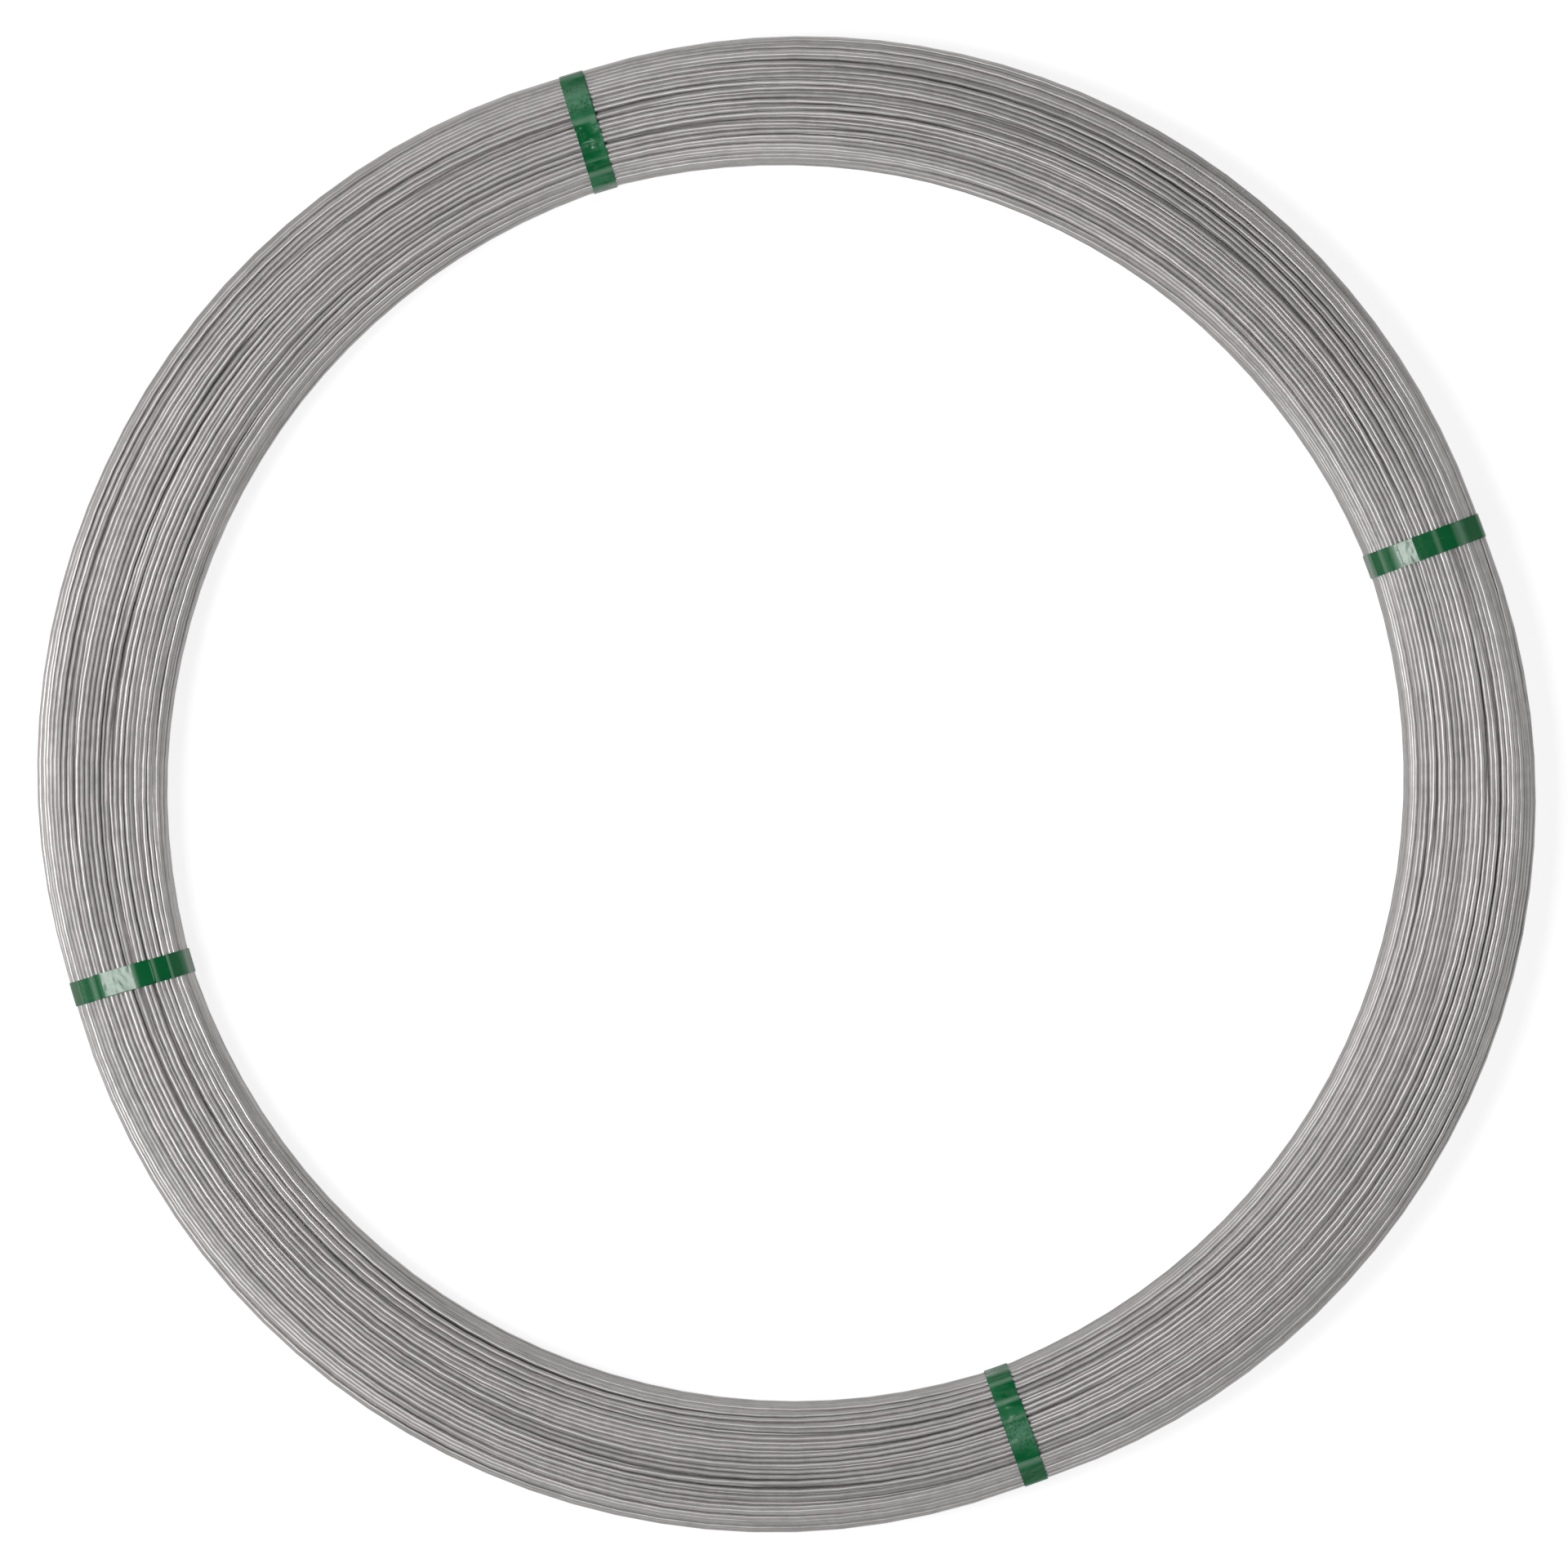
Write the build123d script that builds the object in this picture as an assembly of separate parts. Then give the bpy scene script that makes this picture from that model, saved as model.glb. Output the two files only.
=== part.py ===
from build123d import *
import os
from dataclasses import dataclass
from math import atan2, copysign, cos, degrees, hypot, pi, radians, sin, sqrt

# A low coil of drawn steel wire, lying flat. Its turns lie side by side in one ring-shaped bundle,
# which four plastic straps hold. Each strap squeezes the bundle, and between two straps it swells.
# The origin is on the floor under the middle of the coil, and +Z is the coil's axis.
# Lengths are in millimetres and angles in degrees.

# The wire, and the bundle's section where a strap squeezes it
WIRE_DIAMETER = 2.7
BORE_RADIUS = 331.5
BUNDLE_WIDTH = 66.0
BUNDLE_HEIGHT = 60.0
SHOULDER_POWER = 2.4  # 2 makes the section an ellipse, and more makes its shoulders squarer
REST_FLAT_DEPTH = 0.5  # how much of the round underside the coil's weight flattens

# How far the bundle swells midway between two straps
SWELL_INWARD = 3.0
SWELL_OUTWARD = 4.5
SWELL_UPWARD = 4.0

# The band on each end of the coil where the separate turns show
TURN_BAND_WIDTH = 25.0
TURN_GROOVE_DEPTH = 0.8

# The straps, each one band with its ends lapped and welded on top of the coil
STRAP_WIDTH = 13.0
STRAP_THICKNESS = 0.6
STRAP_LAP_LENGTH = 30.0
STRAP_GAP = 0.05
SEAT_MARGIN = 3.0  # how far the evenly turned seat reaches past each edge of its strap


@dataclass(frozen=True)
class StrapPlace:
    """Where a strap goes round the bundle, and where its lap is."""

    angle: float  # round the coil, from +X towards +Y
    cut_end: float  # round the bundle's section, from its outermost point over the top
    lap_turn: int  # 1 if the lap runs from the cut end towards the bore, -1 if away from it


STRAPS = {
    "strap_right": StrapPlace(20.4, 66.0, 1),
    "strap_upper_left": StrapPlace(106.9, 88.0, -1),
    "strap_left": StrapPlace(196.5, 58.0, 1),
    "strap_lower_right": StrapPlace(289.7, 112.0, -1),
}

# In how many flats each round flank and each strap's loop is drawn
FLANK_FLATS = 8
STRAP_FLATS = 22

# A strap is flat across its width, so the bore's curve stands this much towards its middle
BORE_SAG = BORE_RADIUS - sqrt(BORE_RADIUS**2 - (STRAP_WIDTH / 2) ** 2)
STRAP_CLEARANCE = STRAP_GAP + BORE_SAG
COIL_REST_HEIGHT = STRAP_THICKNESS + STRAP_CLEARANCE
SEAT_HALF_ANGLE = degrees((STRAP_WIDTH / 2 + SEAT_MARGIN) / BORE_RADIUS)


@dataclass(frozen=True)
class Oval:
    """The bundle's section: a rounded oval with a flattened underside."""

    half_width: float
    half_height: float
    centre_radius: float
    centre_height: float

    @property
    def flat_level(self):
        """Height of the flattened underside, from the section's centre."""
        return REST_FLAT_DEPTH - self.half_height

    def at_turn(self, turn):
        """A point of the whole oval. The turn runs from the outermost point over the top."""
        power = 2 / SHOULDER_POWER
        x = self.half_width * copysign(abs(cos(turn)) ** power, cos(turn))
        z = self.half_height * copysign(abs(sin(turn)) ** power, sin(turn))
        return x, z

    def turn_of(self, x, z):
        """The turn at which at_turn gives this point."""
        power = SHOULDER_POWER / 2
        across = copysign(abs(x / self.half_width) ** power, x)
        up = copysign(abs(z / self.half_height) ** power, z)
        return atan2(up, across)

    def crown(self, x):
        """Height of the oval's top over the point x, from the section's centre."""
        rest = 1 - min(1.0, abs(x / self.half_width) ** SHOULDER_POWER)
        return self.half_height * rest ** (1 / SHOULDER_POWER)

    def half_width_at(self, z):
        """Half the width of the whole oval at height z from its centre."""
        rest = 1 - abs(z / self.half_height) ** SHOULDER_POWER
        return self.half_width * rest ** (1 / SHOULDER_POWER)

    def grown(self, amount):
        """The same oval, larger by this amount all round."""
        return Oval(
            self.half_width + amount,
            self.half_height + amount,
            self.centre_radius,
            self.centre_height,
        )


def bundle_oval(swell):
    """The bundle's section, where swell is 0 at a strap and 1 midway between two."""
    inner = BORE_RADIUS - SWELL_INWARD * swell
    outer = BORE_RADIUS + BUNDLE_WIDTH + SWELL_OUTWARD * swell
    half_height = (BUNDLE_HEIGHT + SWELL_UPWARD * swell + REST_FLAT_DEPTH) / 2
    centre_height = COIL_REST_HEIGHT + half_height - REST_FLAT_DEPTH
    return Oval((outer - inner) / 2, half_height, (outer + inner) / 2, centre_height)


def at_angle(point, angle):
    """A section's point, given as radius and height, placed at this angle round the coil."""
    radius, height = point
    return (radius * cos(radians(angle)), radius * sin(radians(angle)), height)


def turn_row(oval, half_band, level):
    """The turns on one end of the coil: crests on the oval, with a groove between turns."""
    turns = int(TURN_BAND_WIDTH / WIRE_DIAMETER)
    row = []
    for step in range(2 * turns + 1):
        x = half_band * (1 - step / turns)
        groove = TURN_GROOVE_DEPTH if step % 2 == 0 and 0 < step < 2 * turns else 0
        row.append((x, min(oval.crown(x), level) - groove))
    return row


def flank_row(oval, half_band):
    """The inner corners of the outer flank's flats, from its foot up to the top band."""
    end = oval.turn_of(half_band, oval.crown(half_band))
    return [oval.at_turn(end * (2 * step / FLANK_FLATS - 1)) for step in range(1, FLANK_FLATS)]


def bundle_corners(swell):
    """The corners of the bundle's section, in order round it, as radius and height."""
    oval = bundle_oval(swell)
    half_band = TURN_BAND_WIDTH / 2 * oval.half_width / (BUNDLE_WIDTH / 2)
    top = turn_row(oval, half_band, oval.half_height)
    under = [(-x, -z) for x, z in turn_row(oval, half_band, -oval.flat_level)]
    outer_flank = flank_row(oval, half_band)
    bore_flank = [(-x, z) for x, z in reversed(outer_flank)]
    corners = top + bore_flank + under + outer_flank
    return [(oval.centre_radius + x, oval.centre_height + z) for x, z in corners]


def stretch(start, end, swell):
    """The skin of the bundle from one strapped section to another, swollen midway.

    Each corner of the section sweeps one circular arc, and a ruled strip joins each arc to the next.
    """
    middle = (start + end) / 2
    arcs = []
    for strapped, swollen in zip(bundle_corners(0), bundle_corners(swell)):
        points = (at_angle(strapped, start), at_angle(swollen, middle), at_angle(strapped, end))
        arcs.append(ThreePointArc(*points).edge())
    return [Face.make_surface_from_curves(a, b) for a, b in zip(arcs, arcs[1:] + arcs[:1])]


def wire_coil():
    """The whole ring: an evenly turned seat under each strap, and a swollen span between two."""
    angles = sorted(place.angle for place in STRAPS.values())
    skin = []
    for angle, after in zip(angles, angles[1:] + [angles[0] + 360]):
        seat_end = angle + SEAT_HALF_ANGLE
        skin += stretch(angle - SEAT_HALF_ANGLE, seat_end, swell=0)
        skin += stretch(seat_end, after - SEAT_HALF_ANGLE, swell=1)
    return Solid(Shell(skin))


def flat_sag(oval, step):
    """How far the oval bulges past the flats of a strap that bends at each step of the turn."""
    sags = []
    for corner in range(STRAP_FLATS):
        (x0, z0), (x1, z1), (x2, z2) = [oval.at_turn(step * (corner + k)) for k in (0, 0.5, 1)]
        sags.append(abs((x2 - x0) * (z1 - z0) - (x1 - x0) * (z2 - z0)) / hypot(x2 - x0, z2 - z0))
    return max(sags)


def strap_outline(layers):
    """A loop in flats round the seat, outside this many layers of strap, with a flat underside."""
    seat_oval = bundle_oval(0)
    lift = STRAP_CLEARANCE + layers * STRAP_THICKNESS
    loop = seat_oval.grown(lift + flat_sag(seat_oval, 2 * pi / STRAP_FLATS))
    rest = seat_oval.flat_level - lift
    start = loop.turn_of(loop.half_width_at(rest), rest)
    turns = [start + (pi - 2 * start) * step / STRAP_FLATS for step in range(STRAP_FLATS + 1)]
    bends = [loop.at_turn(turn) for turn in turns]
    corners = [(loop.centre_radius + x, 0, loop.centre_height + z) for x, z in bends]
    return Wire.make_polygon(corners, close=True)


def lap_wedge(place):
    """The part of the seat's section that the lap covers, as a wedge from its centre."""
    seat_oval = bundle_oval(0)
    mean_radius = (seat_oval.half_width + seat_oval.half_height) / 2
    reach = 2 * (seat_oval.half_width + seat_oval.half_height)
    lap_angle = degrees(STRAP_LAP_LENGTH / mean_radius)
    corners = [(seat_oval.centre_radius, 0, seat_oval.centre_height)]
    for share in (0, 0.5, 1):
        angle = radians(place.cut_end + place.lap_turn * lap_angle * share)
        x = seat_oval.centre_radius + reach * cos(angle)
        corners.append((x, 0, seat_oval.centre_height + reach * sin(angle)))
    return Face(Wire.make_polygon(corners, close=True))


def strap(place):
    """One strap: a closed band round its seat, doubled where its ends are lapped."""
    inside, band_outside, lap_outside = [Face(strap_outline(layers)) for layers in range(3)]
    band = band_outside - inside
    lap = (lap_outside - band_outside) & lap_wedge(place)
    section = (band + lap).face()
    solid = extrude(section, STRAP_WIDTH / 2, dir=(0, 1, 0), both=True)
    return solid.rotate(Axis.Z, place.angle)


os.makedirs("parts", exist_ok=True)
export_step(wire_coil(), "parts/wire_coil.step")
for name, place in STRAPS.items():
    export_step(strap(place), f"parts/{name}.step")
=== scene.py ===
import logging
import math
from dataclasses import dataclass, field
from enum import Enum

import bmesh
import bpy
import numpy as np
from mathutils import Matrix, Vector


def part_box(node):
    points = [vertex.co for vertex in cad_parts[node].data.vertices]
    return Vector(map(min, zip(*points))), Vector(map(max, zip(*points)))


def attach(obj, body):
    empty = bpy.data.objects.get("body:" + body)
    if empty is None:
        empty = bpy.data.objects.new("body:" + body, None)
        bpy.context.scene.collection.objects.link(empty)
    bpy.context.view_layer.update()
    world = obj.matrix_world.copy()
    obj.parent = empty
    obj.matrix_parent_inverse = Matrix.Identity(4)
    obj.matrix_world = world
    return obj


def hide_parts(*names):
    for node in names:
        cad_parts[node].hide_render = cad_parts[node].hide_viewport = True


# A low coil of drawn galvanized steel wire, lying flat, bound by four green plastic straps.
# The wire is laid turn by turn in ring-shaped sections and pressed together as the straps press it.
# Each strap is then pulled tight round the turns that it holds. Lengths are in metres.

MM = 0.001
WIRE_DIAMETER = 2.7 * MM
FULL_TURN = 2 * math.pi
TINY = 1e-9
COIL_NODE = "wire_coil"

# The photograph's scale and where it shows the middle of the coil
PHOTO_SIDE_PX = 1920
PHOTO_METRES_PER_PX = 0.436 * MM
COIL_CENTRE_PX = (962.7, 959.5)

Colour = tuple[float, float, float, float]
Range = tuple[float, float]
Flat = tuple[np.ndarray, float]

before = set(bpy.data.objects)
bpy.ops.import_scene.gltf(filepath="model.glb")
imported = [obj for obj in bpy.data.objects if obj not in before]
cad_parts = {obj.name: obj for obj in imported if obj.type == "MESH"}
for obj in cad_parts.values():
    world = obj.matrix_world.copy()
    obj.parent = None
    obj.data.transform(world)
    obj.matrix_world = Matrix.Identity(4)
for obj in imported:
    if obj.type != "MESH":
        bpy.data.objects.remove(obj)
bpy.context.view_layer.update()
log = logging.getLogger("coil")


def eased(share: np.ndarray) -> np.ndarray:
    """A share from 0 to 1 that starts and ends gently."""
    return share * share * (3 - 2 * share)


def faded(distance: np.ndarray, length: float) -> np.ndarray:
    """1 up to half of a length away, falling evenly to 0 at one and a half times it."""
    return np.clip(1.5 - distance / length, 0, 1)


def signed_power(value: float, power: float) -> float:
    """A power of a value that keeps the value's sign."""
    return math.copysign(abs(value) ** power, value)


def smooth_noise(rng: np.random.Generator, count: int, spacing: float) -> np.ndarray:
    """Noise that changes smoothly along a row of samples.

    Args:
        rng: the seeded source of random numbers.
        count: how many samples.
        spacing: how many samples lie between two independent values.

    Returns:
        The samples, with a spread of about 1.
    """
    knots = rng.standard_normal(int(count / spacing) + 4)
    place = np.arange(count) / spacing
    before = place.astype(int)
    share = eased(place - before)
    return knots[before] * (1 - share) + knots[before + 1] * share


class LapTurn(Enum):
    """Which way a strap's lap runs from its cut end, round the bundle's section."""

    TOWARDS_BORE = 1
    AWAY_FROM_BORE = -1


@dataclass(frozen=True)
class StrapBand:
    """The plastic band that all straps are cut from.

    The gap lies between the band and what it rests on. The edge bevel is a share of the edge's
    radius. The edge strip is a narrow flat that keeps the edge's shading off the band's face.
    """

    width: float = 13.0 * MM
    thickness: float = 0.6 * MM
    gap: float = 0.02 * MM
    edge_radius: float = 0.07 * MM
    edge_bevel: float = 0.3
    edge_strip: float = 0.15 * MM

    def section(self) -> list[tuple[float, float]]:
        """The corners of the band's own section, with rounded edges.

        Returns:
            Each corner as across and out, in order round the section.
        """
        half, deep, bevel = self.width / 2, self.thickness / 2, self.edge_radius * self.edge_bevel
        flat_half = half - self.edge_radius
        strip_start = flat_half - self.edge_strip
        face = [(-flat_half, deep), (-strip_start, deep), (strip_start, deep), (flat_half, deep)]
        edge = [(half - bevel, deep - bevel), (half, deep - self.edge_radius)]
        return face + edge + [(-across, -out) for across, out in face + edge]


@dataclass(frozen=True)
class StrapSite:
    """Where one strap goes round the bundle, read from its CAD node, and how it lies there.

    The cut end is an angle round the section in degrees. The bends are where the band is creased
    over the top, as shares of the way from the bore outwards. Wear is how rubbed the band is, how
    white its weld and how strong the painted sheen of its rubs. Skew is the side to which its outer
    end has slipped: 1 is anticlockwise.
    """

    node: str
    cut_end: float
    lap_turn: LapTurn
    bends: tuple[float, ...]
    wear_and_sheen: float
    skew: float

    @property
    def angle(self) -> float:
        """The strap's place round the coil, in radians from +X."""
        low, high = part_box(self.node)
        return math.atan2((low[1] + high[1]) / 2, (low[0] + high[0]) / 2)

    @property
    def place(self) -> float:
        """The same angle, from 0 to a full turn."""
        return self.angle % FULL_TURN

    @property
    def radial(self) -> np.ndarray:
        """The direction from the coil's axis to the strap."""
        return np.array([math.cos(self.angle), math.sin(self.angle), 0.0])

    def radial_reach(self, band_width: float) -> tuple[float, float]:
        """The strap's nearest and farthest distance from the coil's axis.

        Args:
            band_width: the band's width, along the coil's circumference.

        Returns:
            The inner and the outer radius of the strap in its own section.
        """
        low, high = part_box(self.node)
        along_x, along_y = abs(math.cos(self.angle)), abs(math.sin(self.angle))
        axis, share, other = (0, along_x, along_y) if along_x > along_y else (1, along_y, along_x)
        ends = sorted((abs(low[axis]), abs(high[axis])))
        half_band = band_width / 2 * other
        return (ends[0] + half_band) / share, (ends[1] - half_band) / share


STRAP_SITES = (
    StrapSite(
        node="strap_right",
        cut_end=66.0,
        lap_turn=LapTurn.TOWARDS_BORE,
        bends=(0.03, 0.12, 0.22, 0.44, 0.58, 0.77, 0.95),
        wear_and_sheen=0.1,
        skew=0.0,
    ),
    StrapSite(
        node="strap_upper_left",
        cut_end=88.0,
        lap_turn=LapTurn.AWAY_FROM_BORE,
        bends=(0.03, 0.14, 0.24, 0.33, 0.54, 0.77, 0.94),
        wear_and_sheen=1.0,
        skew=1.0,
    ),
    StrapSite(
        node="strap_left",
        cut_end=58.0,
        lap_turn=LapTurn.TOWARDS_BORE,
        bends=(0.04, 0.15, 0.28, 0.44, 0.76, 0.90, 0.98),
        wear_and_sheen=0.1,
        skew=-1.0,
    ),
    StrapSite(
        node="strap_lower_right",
        cut_end=112.0,
        lap_turn=LapTurn.AWAY_FROM_BORE,
        bends=(0.04, 0.11, 0.25, 0.41, 0.60, 0.78, 0.96),
        wear_and_sheen=0.8,
        skew=1.0,
    ),
)


@dataclass(frozen=True)
class Ovals:
    """The bundle's oval at every section: half its size, and where its centre is."""

    half_width: np.ndarray
    half_height: np.ndarray
    radius: np.ndarray
    height: np.ndarray


@dataclass(frozen=True)
class Bundle:
    """The space that the turns fill: a ring whose oval section swells between the straps.

    The strap clearance lies between the turns and the strap's CAD solid, and on the outside the
    turns keep a share of the band's thickness more. A shoulder power of 2 makes the section an
    ellipse, and more makes its shoulders squarer. The underside is flattened by the coil's weight.
    """

    wire_diameter: float = WIRE_DIAMETER
    strap_clearance: float = 0.40 * MM
    outer_share: float = 1 / 6
    shoulder_power: float = 2.4
    rest_flat_depth: float = 0.5 * MM
    swell_inward: float = 2.9 * MM
    seat_half_angle: float = math.radians(1.64)
    sections_per_span: int = 27
    band: StrapBand = StrapBand()

    def seat_angles(self) -> list[float]:
        """The straps' places round the coil, in rising order."""
        return sorted(site.place for site in STRAP_SITES)

    def section_angles(self) -> np.ndarray:
        """The angle of every section, from just past the first strap round to just before it.

        Returns:
            The angles in radians, in rising order.
        """
        seats = self.seat_angles()
        angles = []
        for seat, after in zip(seats, seats[1:] + [seats[0] + FULL_TURN]):
            start, end = seat + self.seat_half_angle, after - self.seat_half_angle
            angles += list(np.linspace(start, end, self.sections_per_span))
        return np.array(angles)

    def swell(self) -> np.ndarray:
        """How far each section has swelled.

        Returns:
            A share for each section, from 0 at a strap to 1 midway between two.
        """
        angles = self.section_angles().reshape(len(STRAP_SITES), -1)
        half = (angles[:, -1:] - angles[:, :1]) / 2
        off_middle = angles - (angles[:, -1:] + angles[:, :1]) / 2
        bulge = (np.cos(off_middle) - np.cos(half)) / (1 - np.cos(half))
        return bulge.ravel()

    def swell_at(self, half_turns: float) -> float:
        """The swell at one angle round the coil.

        Args:
            half_turns: the angle, in half turns from +X.

        Returns:
            The swell there.
        """
        angles, swell = self.section_angles() / math.pi, self.swell()
        two_rounds = np.concatenate([angles - 2, angles])
        return float(np.interp(half_turns, two_rounds, np.concatenate([swell, swell])))

    def ovals(self) -> Ovals:
        """Measures the oval at every section from the CAD nodes.

        Returns:
            The ovals, in the order of the sections.
        """
        reaches = [site.radial_reach(self.band.width) for site in STRAP_SITES]
        skin = self.band.thickness + self.strap_clearance
        inner_seat = max(reach[0] for reach in reaches) + skin
        outer_seat = min(reach[1] for reach in reaches) - skin - self.band.thickness * self.outer_share
        low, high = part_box(COIL_NODE)
        swell = self.swell()
        sides = {0.0: high[0], 0.5: high[1], 1.0: -low[0], 1.5: -low[1]}
        outer_swelled = outer_seat + min(
            (reach - outer_seat) / self.swell_at(side) for side, reach in sides.items()
        )
        top_seat = min(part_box(site.node)[1][2] for site in STRAP_SITES) - 2 * skin
        inner = inner_seat - self.swell_inward * swell
        outer = outer_seat + (outer_swelled - outer_seat) * swell
        top = top_seat + (high[2] - top_seat) * swell
        half_height = (top - low[2] + self.rest_flat_depth) / 2
        return Ovals((outer - inner) / 2, half_height, (outer + inner) / 2, top - half_height)

    def wires_under(self, line: np.ndarray, site: StrapSite) -> np.ndarray:
        """The turns' centres at both edges of one strap.

        Args:
            line: the wire's centre line.
            site: the strap's place.

        Returns:
            The centres as distance along the strap's own radius, and height.
        """
        sections = len(self.section_angles())
        first = self.seat_angles().index(site.place) * self.sections_per_span
        rows = line.reshape(-1, sections, 3)
        after = rows[:, first, :]
        before = np.roll(rows[:, (first - 1) % sections, :], 1 if first == 0 else 0, axis=0)
        spread = 2 * math.sin(self.seat_half_angle) * float(np.linalg.norm(line[0, :2]))
        near = (1 - self.band.width / spread) / 2
        edges = [before * (1 - near) + after * near, before * near + after * (1 - near)]
        return np.concatenate([np.stack([edge @ site.radial, edge[:, 2]], axis=1) for edge in edges])


@dataclass(frozen=True)
class Winding:
    """How the wire comes off the former: up and down, and from the bore outwards.

    The pitch is in wire diameters. Each spread or wander changes over a run that is counted in
    turns, and wanders are shares of the oval. Where a column of turns is short, it counts as the
    least column, which is a share of the tallest.
    """

    pitch: float = 1.12
    pitch_spread: float = 0.6
    pitch_run: float = 1.5
    wander_across: float = 0.15
    across_run: float = 0.8
    wander_up: float = 0.10
    up_run: float = 0.5
    least_column: float = 0.25
    room_samples: int = 2001


@dataclass(frozen=True)
class Pressing:
    """How the turns are pressed together, round by round, while the wire grows to its diameter.

    The first and the near are in wire diameters: how thick the wire starts, and how near turns
    are watched. It is full grown after 1 / growth of the rounds. Each push parts a share of an
    overlap, each pass straightens the wire by its stiffness, and the last rounds have fewer passes.
    """

    rounds: int = 400
    first: float = 0.75
    growth: float = 1.6
    near: float = 1.6
    rounds_a_search: int = 10
    push: float = 0.35
    stiffness: float = 0.4
    passes: int = 4
    last_passes: int = 2
    last_from: float = 0.8
    bends_underneath: int = 8


@dataclass(frozen=True)
class Ripple:
    """Waves in the bundle's edge, so that its turns don't end in one smooth curve.

    Each wave has a whole number of crests round the section and round the coil.
    """

    depth: float = 0.035
    contrast: float = 0.4
    directions: int = 72
    waves: int = 14
    round_section: tuple[int, int] = (3, 13)
    round_coil: tuple[int, int] = (0, 4)

    def table(self, rng: np.random.Generator, sections: int) -> np.ndarray:
        """How far the edge dips inward.

        Args:
            rng: the seeded source of random numbers.
            sections: how many sections the coil has.

        Returns:
            Shares from 0 to depth, one row a section and one column a direction.
        """
        turn = np.arange(self.directions) * 2 * np.pi / self.directions
        place = np.arange(sections) * 2 * np.pi / sections
        table = np.zeros((sections, self.directions))
        for _ in range(self.waves):
            round_section, round_coil = rng.integers(*self.round_section), rng.integers(*self.round_coil)
            phase = rng.random() * 2 * np.pi
            table += np.cos(round_section * turn[None, :] + round_coil * place[:, None] + phase)
        table = table / math.sqrt(self.waves / 2)
        return self.depth * np.clip(0.5 + self.contrast * table, 0, 1)


@dataclass
class WireLay:
    """The lay of one continuous wire: where each turn crosses each section of the bundle."""

    bundle: Bundle
    turns: int = 436
    seed: int = 7
    winding: Winding = Winding()
    pressing: Pressing = Pressing()
    ripple: Ripple = Ripple()
    ovals: Ovals = field(init=False)

    def __post_init__(self) -> None:
        """Measures the bundle's ovals once."""
        self.ovals = self.bundle.ovals()

    @property
    def sections(self) -> int:
        """How many sections one turn passes."""
        return len(self.ovals.radius)

    def _first_lay(self, rng: np.random.Generator) -> np.ndarray:
        """The wire as it comes off the former: wound from the bore outwards, up and down in turn.

        Args:
            rng: the seeded source of random numbers.

        Returns:
            One row for each place along the wire, across and up, as shares of the oval.
        """
        winding, power = self.winding, self.bundle.shoulder_power
        count = self.turns * self.sections
        across = np.linspace(-1, 1, winding.room_samples)
        room = np.cumsum((1 - np.abs(across) ** power) ** (1 / power))
        wound = (np.arange(count) + 0.5) / count
        x = np.interp(wound, room / room[-1], across)
        column = (1 - np.abs(x) ** power) ** (1 / power)
        pitch = self.bundle.wire_diameter * winding.pitch
        unevenness = smooth_noise(rng, count, self.sections * winding.pitch_run)
        pitch = pitch * (1 + winding.pitch_spread * unevenness)
        height = 2 * column.clip(winding.least_column) * self.ovals.half_height.mean()
        sweep = np.cumsum(pitch / self.sections / height) % 2
        z = (np.abs(sweep - 1) * 2 - 1) * column
        x = x + winding.wander_across * smooth_noise(rng, count, self.sections * winding.across_run)
        z = z + winding.wander_up * smooth_noise(rng, count, self.sections * winding.up_run)
        return np.stack([x, z], axis=1)

    def _strap_flats(self, site: StrapSite) -> list[Flat]:
        """The flats that a tight strap presses into the bundle.

        Args:
            site: the strap's place, with its bends over the top.

        Returns:
            For each flat its outward direction and its distance from the section's centre.
        """
        half_size = np.array([self.ovals.half_width.min(), self.ovals.half_height.min()])
        power = self.bundle.shoulder_power
        count = self.pressing.bends_underneath
        over = [math.acos(signed_power(2 * bend - 1, power / 2)) for bend in site.bends]
        under = [math.pi + math.pi * (index + 0.5) / count for index in range(count)]
        corners = []
        for turn in sorted(over + under):
            across, up = math.cos(turn), math.sin(turn)
            corners.append(half_size * (signed_power(across, 2 / power), signed_power(up, 2 / power)))
        flats = []
        for here, after in zip(corners, corners[1:] + corners[:1]):
            along = (after - here) / np.linalg.norm(after - here)
            outward = np.array([along[1], -along[0]])
            flats.append((outward, float(outward @ here)))
        return flats

    def _seats(self) -> list[tuple[int, list[Flat]]]:
        """The two sections beside each strap, each with the flats that the strap presses there.

        Returns:
            Each section's number, with its flats.
        """
        span = self.bundle.sections_per_span
        seats = []
        for index, site in enumerate(sorted(STRAP_SITES, key=lambda site: site.place)):
            flats = self._strap_flats(site)
            seats += [((index * span - 1) % self.sections, flats), (index * span, flats)]
        return seats

    def pressed(self) -> np.ndarray:
        """Presses the turns together until they lie side by side.

        Returns:
            The wire's centre line as (turns, sections, 2): across and up from the oval's centre.
        """
        rng = np.random.default_rng(self.seed)
        pressing, diameter = self.pressing, self.bundle.wire_diameter
        room = np.stack([self.ovals.half_width, self.ovals.half_height], axis=1) - diameter / 2
        scale = np.tile(room, (self.turns, 1)).astype(np.float32)
        place = (self._first_lay(rng) * scale).astype(np.float32)
        ripple = self.ripple.table(rng, self.sections) * self.bundle.swell()[:, None]
        seats = self._seats()
        pairs = None
        for number in range(pressing.rounds):
            if number % pressing.rounds_a_search == 0:
                pairs = self._near_pairs(place, diameter * pressing.near)
            share = min(1.0, pressing.growth * number / pressing.rounds)
            grown = diameter * (pressing.first + (1 - pressing.first) * share)
            place += self._push_apart(place, pairs, grown)
            early = number < pressing.last_from * pressing.rounds
            passes = pressing.passes if early else pressing.last_passes
            place = self._straightened(place / scale, passes) * scale
            place *= self._pull_in(place, scale, ripple)
            self._hold(place.reshape(self.turns, self.sections, 2), seats)
        return place.reshape(self.turns, self.sections, 2).astype(float)

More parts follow.
